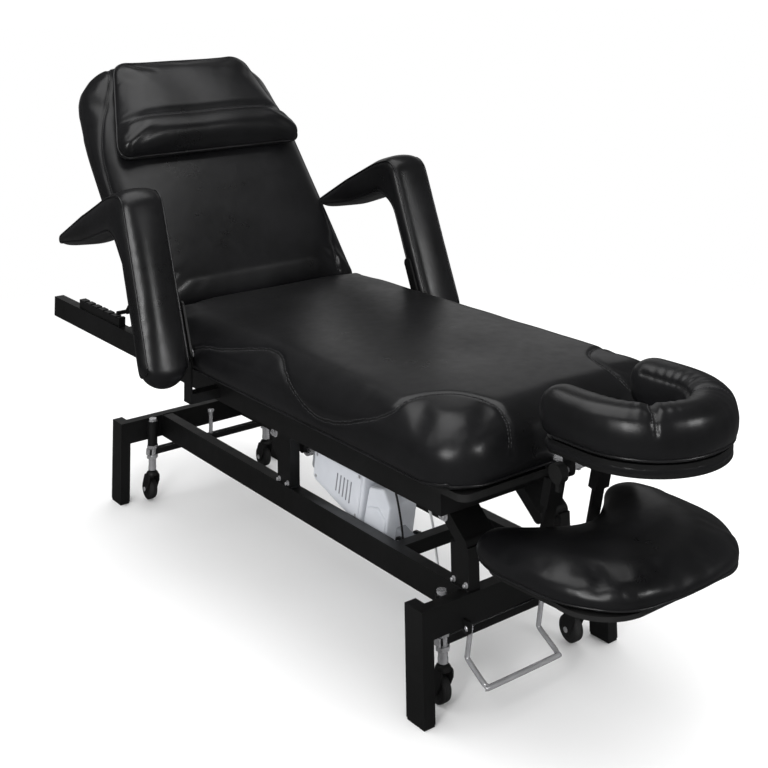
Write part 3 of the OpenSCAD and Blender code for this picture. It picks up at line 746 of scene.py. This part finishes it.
for end, y, _ in CASTER_ENDS:
    for side, sx in SIDES:
        caster(end, side, sx * CASTER_X, y)
for end, y, z in CASTER_ENDS:
    paint(f"{end}_caster_bar", CHROME, 0.8)
    caster_bar(end, y, z)
lathe("rear_stud_head", [(0, 6), (1, 8.4), (5, 8.6), (7, 6.5)], (0, CASTER_ENDS[1][1], 173), (0, 0, 1),
      CHROME, "rear_casters", 32)

PEDAL_X = (-137, 37)
rod = [(PEDAL_X[0] - 12, -628, 139), (PEDAL_X[0] - 2, -628, 139), (PEDAL_X[0], -627, 136),
       (PEDAL_X[0], -617, 92), (PEDAL_X[0], -616, 84), (PEDAL_X[0], -624, 78),
       (PEDAL_X[0], -658, 60), (PEDAL_X[0] + 3, -666, 56), (PEDAL_X[0] + 12, -668, 55)]
rod += [(PEDAL_X[1] + PEDAL_X[0] - x, y, z) for x, y, z in reversed(rod)]
pedal = tube("pedal_rod", smooth_path([Vector(p) * MM for p in rod], 0.003), 4.7 * MM, CHROME, "pedal",
             sides=16)
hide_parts("foot_pedal")


# ---------------------------------------------------------------- actuator

FOOT = Vector((-60, -350.5, 172))
ALONG = Vector((0, 350.5, 83)).normalized()
NORMAL = Vector((0, -ALONG.z, ALONG.y))


def act(x, along, normal):
    return (FOOT + Vector((x, 0, 0)) + ALONG * along + NORMAL * normal) * MM


def housing(name, outline, half, radius, material, replaces=None, draft=0.0):
    """A moulded cover of the actuator: an outline in (along, normal), with its ends drawn in by draft."""
    ring = fillet([(a, b, radius) for a, b in outline], 10)
    middle = sum(ring, Vector((0, 0))) / len(ring)
    verts, faces = [], []
    for x in (-half, -half + 6, half - 6, half):
        inset = draft if abs(x) == half else 0
        verts += [act(x, *(p + (middle - p).normalized() * inset)) for p in ring]
    m = len(ring)
    faces += [tuple(range(m)), tuple(range(3 * m, 4 * m))[::-1]]
    for k in range(3):
        faces += [(k * m + i, k * m + (i + 1) % m, (k + 1) * m + (i + 1) % m, (k + 1) * m + i)
                  for i in range(m)]
    o = add(name, verts, faces, material, "actuator")
    face_outwards(o)
    bevel(o, 3.0, 3, 30)
    if replaces:
        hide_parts(replaces)


LID_HALF = 40
housing("motor_shell", [(26, -18), (26, 60), (52, 85), (98, 64), (104, -22), (50, -32)], 36, 9, GREY,
        "actuator_motor", 2.5)
# The clevis, the tube collar and the lid ribs take the grey plastic darkened as painted shade.
housing("motor_clevis", [(-13, -12), (-13, 12), (40, 14), (40, -14)], 12, 8, GREY_PAINTED_SHADE)
housing("motor_gear_cover", [(30, -14), (30, 30), (60, 44), (96, 26), (97, -14), (60, -24)], 39, 10, GREY,
        draft=3)
housing("control_shell", [(109, -30), (112, 86), (294, 46), (288, -24)], 37, 12, GREY, "control_box", 3.0)
housing("control_lid", [(117, -20), (119, 76), (286, 38), (281, -16)], LID_HALF, 9, GREY, draft=2.0)
housing("tube_collar", [(296, -21), (296, 21), (318, 20), (318, -20)], 20, 8, GREY_PAINTED_SHADE)
SCREW_HEAD = [(0, 3.6), (0.9, 3.4), (1.4, 2.2), (0.6, 0.9)]
for i, (along, normal) in enumerate(((126, -12), (127, 68), (276, 34), (272, -10))):
    for sx in (-1, 1):
        lathe(f"lid_screw_{i}_{hand(sx)}", SCREW_HEAD, act(sx * (LID_HALF - 0.4), along, normal) / MM,
              (sx, 0, 0), ZINC, "actuator", 20)
for i in range(5):
    along = 150 + i * 12
    tube(f"lid_rib_{i}", [act(-LID_HALF - 0.2, along, n) for n in (0, 22, 44 - i * 2)], 1.6 * MM, GREY_PAINTED_SHADE,
         "actuator", sides=6)


def lead(name, points, radius, material, sides):
    path = smooth_path([act(*p) for p in points], 0.004)
    return tube(name, path, radius * MM, material, "actuator", sides=sides)


cable = lead("motor_lead", [(36, 40, 50), (50, 40, 52), (62, 34, 48), (66, 20, 30), (68, 6, 4),
                            (70, -8, -34), (72, -20, -66)], 2.6, SHEATH, 12)
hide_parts("actuator_cable")
lead("motor_link_lead", [(10, 108, 70), (14, 96, 92), (18, 60, 100), (26, 30, 84), (30, 27, 60),
                         (36, 32, 50)], 2.6, SHEATH, 12)
lead("handset_lead", [(-18, 60, 84), (-20, 40, 92), (-22, 14, 62), (-23, -8, 20), (-24, -14, -8)],
     2.2, BLACK, 10)


# ---------------------------------------------------------------- seat

def seat_shape(co):
    x, y, z = co.T
    front = np.clip((-0.60 - y) / 0.17, 0, 1)
    side = np.clip((np.abs(x) - 0.15) / 0.15, 0, 1)
    co[:, 2] -= 0.003 * (front * side) ** 1.5 * (z > 0.48)
    co[:, 2] -= 0.006 * np.clip((np.abs(x) - 0.21) / 0.09, 0, 1) ** 2 * (z > 0.5)
    return co


def seat_folds(co):
    x, _, z = co.T
    edge = np.clip((np.abs(x) - 0.20) / 0.1, 0, 1) * np.clip((z - 0.45) / 0.05, 0, 1)
    co[:, 2] += 0.0016 * noise3(co, 34) * edge
    co[:, 2] += 0.0022 * noise3(co, 11, 3.0) * (z > 0.5)
    return co


seat = pad("seat_upholstery",
           [(-COUCH_HALF, SEAT_FRONT, 85), (COUCH_HALF, SEAT_FRONT, 85), (COUCH_HALF, SEAT_REAR, 40),
            (-COUCH_HALF, SEAT_REAR, 40)],
           SEAT_LOW, SEAT_TOP, 58, "upper", voxel=8.5, top=2.25, low=6.0, crown=6, belly=7, pressure=4,
           cap=6, shape=seat_shape, extra=seat_folds)
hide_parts("seat_cushion")
SEAT_SEAM = [(300, 120, 470), (305, 60, 492), (306, 14, 508), (300, -50, 524), (284, -105, 533),
             (268, -155, 536), (272, -205, 535), (296, -246, 526), (306, -285, 500), (307, -335, 474),
             (307, -386, 463), (307, -449, 468), (305, -509, 486), (298, -560, 512), (282, -588, 526),
             (252, -596, 533), (219, -606, 536), (182, -632, 537), (160, -668, 537), (148, -716, 535),
             (150, -752, 528), (158, -778, 506), (164, -783, 480)]
for side, sx in SIDES:
    seam(f"seat_seam_{side}", seat, [Vector((sx * x, y, z)) * MM for x, y, z in SEAT_SEAM], "upper",
         depth=4.0, width=6.0)
# The right half, from the front to the rear; the left half is its mirror image.
seat_edge = [(210, SEAT_FRONT), (276, -752), (COUCH_HALF, -680), (COUCH_HALF, 0), (COUCH_HALF, 240),
             (270, SEAT_REAR - 2)]
seat_ring = ([(-x, y) for x, y in seat_edge[2:]] + [(0, SEAT_REAR)] + seat_edge[::-1]
             + [(0, SEAT_FRONT - 1)] + [(-x, y) for x, y in seat_edge[:2]])
welt("seat_lower_welt", seat, [Vector((x, y, SEAT_LOW + 10)) * MM for x, y in seat_ring], "upper",
     radius=2.2)


# ---------------------------------------------------------------- backrest

BACK = Matrix.Translation(HINGE) @ Matrix.Rotation(RECLINE, 4, "X")
BACK_L = 745


def cut_lower_end(co):
    """The lower end leans back, so that the pad clears the seat when it is raised."""
    low = np.clip((0.125 - co[:, 1]) / 0.125, 0, 1)
    z = co[:, 2] - 0.016
    co[:, 1] += 0.026 * low * np.clip(z / 0.074, 0, 1)
    side = np.clip((np.abs(co[:, 0]) - 0.17) / 0.13, 0, 1)
    co[:, 2] -= 0.012 * side ** 2 * (co[:, 2] > 0.06)
    return co


def back_folds(co):
    co[:, 2] += 0.0020 * noise3(co, 12, 5.0) * (co[:, 2] > 0.06)
    return co


back = pad("backrest_upholstery",
           [(-COUCH_HALF, 14, 26), (COUCH_HALF, 14, 26), (303, BACK_L - 240, 400),
            (276, BACK_L - 12, 125), (0, BACK_L + 7, 1200), (-276, BACK_L - 12, 125),
            (-303, BACK_L - 240, 400)],
           14, 89, 42, "backrest", BACK, voxel=8.5, top=2.2, low=5.0, crown=6, belly=6, pressure=4, cap=6,
           shape=cut_lower_end, extra=back_folds)
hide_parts("backrest_cushion")
BACK_SEAM = [(190, BACK_L + 4, 50), (196, 722, 84), (214, 664, 93), (244, 600, 92), (274, 535, 84),
             (294, 455, 74), (298, 370, 70), (296, 290, 72), (286, 215, 78), (266, 150, 86),
             (250, 100, 90), (246, 60, 90), (252, 34, 80)]
for side, sx in SIDES:
    seam(f"backrest_seam_{side}", back, [Vector((sx * x, y, z)) * MM for x, y, z in BACK_SEAM], "backrest",
         depth=3.6, width=5.5, matrix=BACK)
# The left half, from the lower side to the top; the right half is its mirror image.
back_edge = [(-COUCH_HALF, 60), (-302, 300), (-302, 515), (-292, 645), (-256, 716), (-190, 740)]
back_ring = (back_edge + [(0, 748)] + [(-x, y) for x, y in reversed(back_edge)]
             + [(270, 16), (0, 14), (-270, 16)])
welt("backrest_welt", back, [Vector((x, y, 22)) * MM for x, y in back_ring], "backrest", radius=2.2,
     matrix=BACK)
for sx in (-1, 1):
    lathe(f"backrest_side_screw_{hand(sx)}", [(0, 6.5), (1.2, 6.5), (3.6, 4.6), (4.4, 2.0)],
          BACK @ (Vector((sx * 305, 76, 18)) * MM) / MM, (sx, 0, 0), ZINC, "backrest", 24)


# ---------------------------------------------------------------- head pillow

PILLOW, PILLOW_L = BACK_L - 330, 300
pillow_at = BACK @ Matrix.Translation(Vector((0, 0, 92)) * MM)


def pillow_roll(co):
    """A thick roll at the lower edge that thins towards the top."""
    y = co[:, 1] / MM - PILLOW
    roll = np.exp(-((y - 45) / 44) ** 2)
    fold = np.exp(-((y - 100) / 13) ** 2)
    thin = np.clip((y - 110) / 200, 0, 1)
    up = np.clip(co[:, 2] / 0.045, 0, 1)
    co[:, 2] += up * (0.014 * roll - 0.009 * fold - 0.014 * thin)
    co[:, 2] += up * 0.0022 * noise3(co, 22, 1.0)
    return co


pillow = pad("pillow_upholstery",
             [(-274, PILLOW, 26), (274, PILLOW, 26), (196, PILLOW + PILLOW_L, 46),
              (-196, PILLOW + PILLOW_L, 46)],
             0, 50, 34, "pillow", pillow_at, voxel=6.5, top=2.0, low=2.6, crown=8, belly=3, pressure=4,
             cap=8, extra=pillow_roll)
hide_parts("head_pillow")
pillow_edge = [(-270, 30, 26), (-236, 158, 22), (-202, 268, 20), (-166, 297, 20)]
pillow_ring = (pillow_edge + [(0, PILLOW_L, 20)] + [(-x, y, z) for x, y, z in reversed(pillow_edge)]
               + [(245, 1, 26), (0, 0, 26), (-245, 1, 26)])
welt("pillow_welt", pillow, [Vector((x, PILLOW + y, z)) * MM for x, y, z in pillow_ring], "pillow",
     radius=3.0, matrix=pillow_at)
seam("pillow_fold", pillow, [Vector((x, PILLOW + 100, 62)) * MM for x in (-236, -120, 0, 120, 236)],
     "pillow", depth=1.5, width=5, matrix=pillow_at)


# ---------------------------------------------------------------- armrests

# In the side plane, as (y, z) in mm: the bend, the foot, and the way the wing runs down from the bend.
BEND = Vector((212, 790))
FOOT_A = Vector((68, 440))
WING_SLOPE = math.radians(-22)
WING = Vector((math.cos(WING_SLOPE), math.sin(WING_SLOPE)))
WING_L = 352
PAD_IN, PAD_OUT = 322, 437
# The rounding of the lower end: it fades out at FOOT_TOP above the foot.
FOOT_TOP, FOOT_TRIM, FOOT_ROUND = 110, 8, 40


def armrest(side, sx):
    """A bent pad: a leg up to the bend, then a wing that thins towards its tip."""
    up = (BEND - FOOT_A).normalized()
    out = Vector((-up.y, up.x))
    wing_up = Vector((-WING.y, WING.x))
    tip = BEND + WING * WING_L
    outline = [FOOT_A + out * 24 - up * 22, BEND + out * 26 + wing_up * 16, BEND + WING * 60 + wing_up * 27,
               BEND + WING * 200 + wing_up * 22, tip + wing_up * 9, tip - wing_up * 12,
               BEND + WING * 215 - wing_up * 40, BEND + WING * 62 - wing_up * 52, BEND - out * 24 - up * 92,
               FOOT_A - out * 23 - up * 22]
    radii = [24, 46, 60, 200, 12, 14, 160, 34, 60, 23]
    matrix = Matrix(((0, 0, sx, 0), (1, 0, 0, 0), (0, 1, 0, 0), (0, 0, 0, 1)))
    corners = [(p.x, p.y, r) for p, r in zip(outline, radii)]

    def round_foot(co):
        """Brings the lower end up at both sides, so that it is round across its width."""
        across = np.clip(np.abs(co[:, 2] / MM - (PAD_IN + PAD_OUT) / 2) / ((PAD_OUT - PAD_IN) / 2), 0, 0.97)
        along = (co[:, 0] / MM - FOOT_A.x) * up.x + (co[:, 1] / MM - FOOT_A.y) * up.y
        share = np.clip((FOOT_TOP - along) / (FOOT_TOP + 22), 0, 1)
        lift = share * (FOOT_TRIM + FOOT_ROUND * (1 - np.sqrt(1 - across ** 2))) * MM
        co[:, 0] += up.x * lift
        co[:, 1] += up.y * lift
        return co

    o = pad(f"armrest_upholstery_{side}", corners, PAD_IN, PAD_OUT, 15, f"armrest_{side}", matrix,
            voxel=6.0, top=2.6, low=2.6, crown=3, belly=7, pressure=2.5, cap=4, extra=round_foot)
    if sx < 0:
        o.data.flip_normals()
    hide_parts(f"armrest_pad_{side}")
    ring = densify([Vector((p.x, p.y)) for p in fillet(corners, 12)], 14)
    for k, x in (("inner", PAD_IN + 5), ("outer", PAD_OUT - 5)):
        line = round_foot(np.array([(p.x, p.y, x) for p in ring]) * MM)
        path = [matrix @ Vector(p) for p in line]
        welt(f"armrest_welt_{side}_{k}", o, path, f"armrest_{side}", radius=2.4, lift=0.9)


for side, sx in SIDES:
    armrest(side, sx)


# ---------------------------------------------------------------- face cradle

CRADLE_Y = -930


def horseshoe(outer, inner, rear, soft):
    """The outline of a ring that is open to the bed, with its ends rounded by soft."""
    pts = []
    for k in range(19):
        q = math.pi + math.pi * k / 18
        pts.append((outer * math.cos(q), CRADLE_Y + outer * math.sin(q), 4))
    pts += [(outer, CRADLE_Y + rear, soft), (inner, CRADLE_Y + rear, soft)]
    for k in range(13):
        q = -math.pi * k / 12
        pts.append((inner * math.cos(q), CRADLE_Y + inner * math.sin(q), 4))
    pts += [(-inner, CRADLE_Y + rear, soft), (-outer, CRADLE_Y + rear, soft)]
    return pts


# The angle of the cross seams from straight ahead, in radians.
CROSS_SEAM = 0.72


def cradle_gathers(co):
    """Puckers beside the two cross seams, and a slope down to the middle."""
    x, y, z = co.T
    high = np.clip((z - 0.557) / 0.03, 0, 1)
    dy = y - CRADLE_Y * MM
    q = np.abs(np.arctan2(x, -dy)) - CROSS_SEAM
    r = np.hypot(x, dy)
    mid = np.clip((r - 0.075) / 0.03, 0, 1) * np.clip((0.15 - r) / 0.03, 0, 1)
    near_seam = np.exp(-(q / 0.28) ** 2)
    co[:, 2] -= 0.0045 * np.exp(-(q / 0.06) ** 2) * high * mid
    co[:, 2] += 0.0022 * np.sin(q * 46) * near_seam * high * mid
    co[:, 2] += 0.0018 * np.sin(q * 31) * high * np.clip((0.108 - r) / 0.03, 0, 1)
    co[:, 2] += 0.0016 * noise3(co, 30, 2.0)
    co[:, 2] += 0.004 * np.clip(r - 0.06, 0, 0.1) / 0.1 * high
    return co


def arc(radius, z, rear, count=24):
    """Three sides of a rounded path about the middle of the face cradle, open to the bed."""
    pts = []
    for k in range(count + 1):
        q = math.pi + math.pi * k / count
        pts.append(Vector((radius * math.cos(q), CRADLE_Y + radius * math.sin(q), z)) * MM)
    return ([Vector((-radius, CRADLE_Y + rear, z)) * MM] + pts
            + [Vector((radius, CRADLE_Y + rear, z)) * MM])


cradle = pad("cradle_upholstery", horseshoe(154, 70, 112, 38), 515, 590, 32, "cradle", voxel=6.0, top=2.1,
             low=3.6, crown=3, belly=3, pressure=4, cap=6, extra=cradle_gathers)
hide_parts("cradle_cushion")
welt("cradle_welt", cradle, arc(148, 520, 70), "cradle", radius=2.6, closed=False)
seam("cradle_inner_seam", cradle, arc(74, 578, 70, 20), "cradle", stitched=False, depth=2.5, width=5)
for side, q in (("left", -CROSS_SEAM), ("right", CROSS_SEAM)):
    seam(f"cradle_cross_seam_{side}", cradle,
         [Vector((r * math.sin(q), CRADLE_Y - r * math.cos(q), z)) * MM
          for r, z in ((78, 580), (94, 593), (116, 596), (140, 586), (155, 564))],
         "cradle", depth=3.5, width=6, gap=3.0, pitch=5)
pad("cradle_base_wrap", horseshoe(145, 74, 107, 26), 491, 512.5, 9, "cradle", voxel=4.5, top=3.5, low=2.6,
    crown=0, belly=1, pressure=1, cap=1)
paint("cradle_platform", COAT, 1.0)
paint("cradle_clamp_knob", BLACK, 1.4, 3)


# ---------------------------------------------------------------- arm shelf

SHELF_Y, SHELF_Z = -868, 292


def shelf_crown(co):
    co[:, 2] += 0.0016 * noise3(co, 16, 4.0) * (co[:, 2] > 0.32)
    return co


shelf_half = [(98, 134, 60), (140, 172, 40), (197, 162, 50), (216, 96, 60), (207, -50, 150),
              (140, -152, 120)]
shelf_outline = ([(-x, y, r) for x, y, r in reversed(shelf_half)] + [(0, 66, 110)] + shelf_half
                 + [(0, -164, 500)])
shelf_corners = [(x, SHELF_Y + y, r) for x, y, r in shelf_outline]
shelf = pad("arm_shelf_upholstery", shelf_corners, SHELF_Z, SHELF_Z + 46, 44, "shelf", voxel=6.5, top=2.0,
            low=4.0, crown=7, belly=2, pressure=4, cap=6, extra=shelf_crown)
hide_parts("arm_shelf_pad")
welt("arm_shelf_welt", shelf,
     [Vector((p.x, p.y, SHELF_Z + 4)) * MM for p in densify(fillet(shelf_corners), 14)], "shelf",
     radius=2.0, lift=0.3)


# ---------------------------------------------------------------- underside details

cover = [(-250, 42, 30), (250, 42, 30), (250, BACK_L - 150, 90), (170, BACK_L - 40, 90),
         (-170, BACK_L - 40, 90), (-250, BACK_L - 150, 90)]
cover_ring = [BACK @ (Vector((p.x, p.y, 1.6)) * MM) for p in fillet(cover)]
cover_face = tuple(range(len(cover_ring)))[::-1]
dust_cover = add("backrest_dust_cover", cover_ring, [cover_face], LINING, "backrest")
dust_cover.modifiers.new("thick", "SOLIDIFY").thickness = 0.6 * MM


# ---------------------------------------------------------------- stage, light and camera

def path_value(nt, kind, when, otherwise):
    """One value for rays of the given kind and another for the rest."""
    rays = nt.nodes.new("ShaderNodeLightPath")
    m = nt.nodes.new("ShaderNodeMapRange")
    m.inputs["To Min"].default_value = otherwise
    m.inputs["To Max"].default_value = when
    nt.links.new(rays.outputs[kind], m.inputs["Value"])
    return m


pale = bpy.data.materials.new("stage_pale")
pale.use_nodes = True
nt = pale.node_tree
b = nt.nodes["Principled BSDF"]
b.inputs["Roughness"].default_value = 0.9
b.inputs["Specular IOR Level"].default_value = 0.1
tone = path_value(nt, "Is Glossy Ray", 0.05, 0.88)
nt.links.new(tone.outputs["Result"], b.inputs["Base Color"])
glow = node(nt, "ShaderNodeEmission", Color=(1, 1, 1, 1))
nt.links.new(path_value(nt, "Is Glossy Ray", 0.05, 1.0).outputs["Result"], glow.inputs["Strength"])
geo = nt.nodes.new("ShaderNodeNewGeometry")
far = nt.nodes.new("ShaderNodeVectorMath")
far.operation = "LENGTH"
nt.links.new(geo.outputs["Position"], far.inputs[0])
fade = nt.nodes.new("ShaderNodeMapRange")
fade.interpolation_type = "SMOOTHSTEP"
fade.inputs["From Min"].default_value = 1.0
fade.inputs["From Max"].default_value = 2.8
nt.links.new(far.outputs["Value"], fade.inputs["Value"])
both = nt.nodes.new("ShaderNodeMixShader")
nt.links.new(fade.outputs["Result"], both.inputs[0])
nt.links.new(b.outputs[0], both.inputs[1])
nt.links.new(glow.outputs[0], both.inputs[2])
nt.links.new(both.outputs[0], nt.nodes["Material Output"].inputs["Surface"])
bpy.ops.mesh.primitive_plane_add(size=60, location=(0, 0, -0.0005))
floor = bpy.context.object
floor.name = "floor"
floor.data.materials.append(pale)


def softbox(name, at, to, size, power):
    d = bpy.data.lights.new(name, "AREA")
    d.shape = "RECTANGLE"
    d.size, d.size_y = size
    d.energy = power
    o = bpy.data.objects.new(name, d)
    bpy.context.scene.collection.objects.link(o)
    o.location = at
    o.rotation_euler = (Vector(to) - Vector(at)).to_track_quat("-Z", "Y").to_euler()


softbox("key", (-2.9, -2.0, 2.2), (0, -0.2, 0.5), (0.7, 1.8), 42)
softbox("front", (0.9, -3.6, 2.1), (0, -0.4, 0.45), (0.9, 0.9), 24)
softbox("top", (-0.2, 0.4, 3.4), (0, -0.1, 0.5), (3.0, 2.4), 36)
softbox("rim", (2.2, 3.0, 1.6), (0, 0.1, 0.5), (3.2, 1.5), 5)
world = bpy.data.worlds.new("studio")
bpy.context.scene.world = world
world.use_nodes = True
nt = world.node_tree
sky = nt.nodes["Background"]
sky.inputs["Color"].default_value = (1, 1, 1, 1)
dim = path_value(nt, "Is Glossy Ray", 0.07, 1.4)
lift = path_value(nt, "Is Camera Ray", 0.05, 0.0)
total = nt.nodes.new("ShaderNodeMath")
nt.links.new(dim.outputs["Result"], total.inputs[0])
nt.links.new(lift.outputs["Result"], total.inputs[1])
nt.links.new(total.outputs[0], sky.inputs["Strength"])
bpy.context.scene.view_settings.view_transform = "Standard"

CAM_AT = (-1.697, -2.474 + SHIFT, 1.289)
CAM_AZ, CAM_EL, CAM_ROLL = -37.1, -8.0, -0.9
# Focal length, and how far the lens is lowered as a share of the sensor width
LENS_MM, LENS_DROP = 59.11, -0.7682
cam_data = bpy.data.cameras.new("photo_camera")
cam_data.sensor_width = 36
cam_data.lens = LENS_MM
cam = bpy.data.objects.new("photo_camera", cam_data)
bpy.context.scene.collection.objects.link(cam)
cam.location = CAM_AT

# The lens is lowered in its mount at this station only, so that a camera moved round the bed looks
# straight at it.
follow = cam_data.driver_add("shift_y")
for m in list(follow.modifiers):
    follow.modifiers.remove(m)
follow.driver.type = "SUM"
reading = follow.driver.variables.new()
reading.type = "TRANSFORMS"
reading.targets[0].id = cam
reading.targets[0].transform_type = "LOC_X"
reading.targets[0].transform_space = "WORLD_SPACE"
for away, drop in ((-0.06, 0.0), (-0.03, LENS_DROP), (0.03, LENS_DROP), (0.06, 0.0)):
    key = follow.keyframe_points.insert(CAM_AT[0] + away, drop)
    key.interpolation = "LINEAR"
a, e, r = (math.radians(v) for v in (CAM_AZ, CAM_EL, CAM_ROLL))
back_dir = Vector((math.sin(a) * math.cos(e), -math.cos(a) * math.cos(e), math.sin(e)))
right = Vector((math.cos(a), math.sin(a), 0))
upv = back_dir.cross(right)
right, upv = (right * math.cos(r) + upv * math.sin(r), upv * math.cos(r) - right * math.sin(r))
cam.matrix_world = Matrix((
    (right.x, upv.x, back_dir.x, CAM_AT[0]), (right.y, upv.y, back_dir.y, CAM_AT[1]),
    (right.z, upv.z, back_dir.z, CAM_AT[2]), (0, 0, 0, 1)))
bpy.context.scene.camera = cam
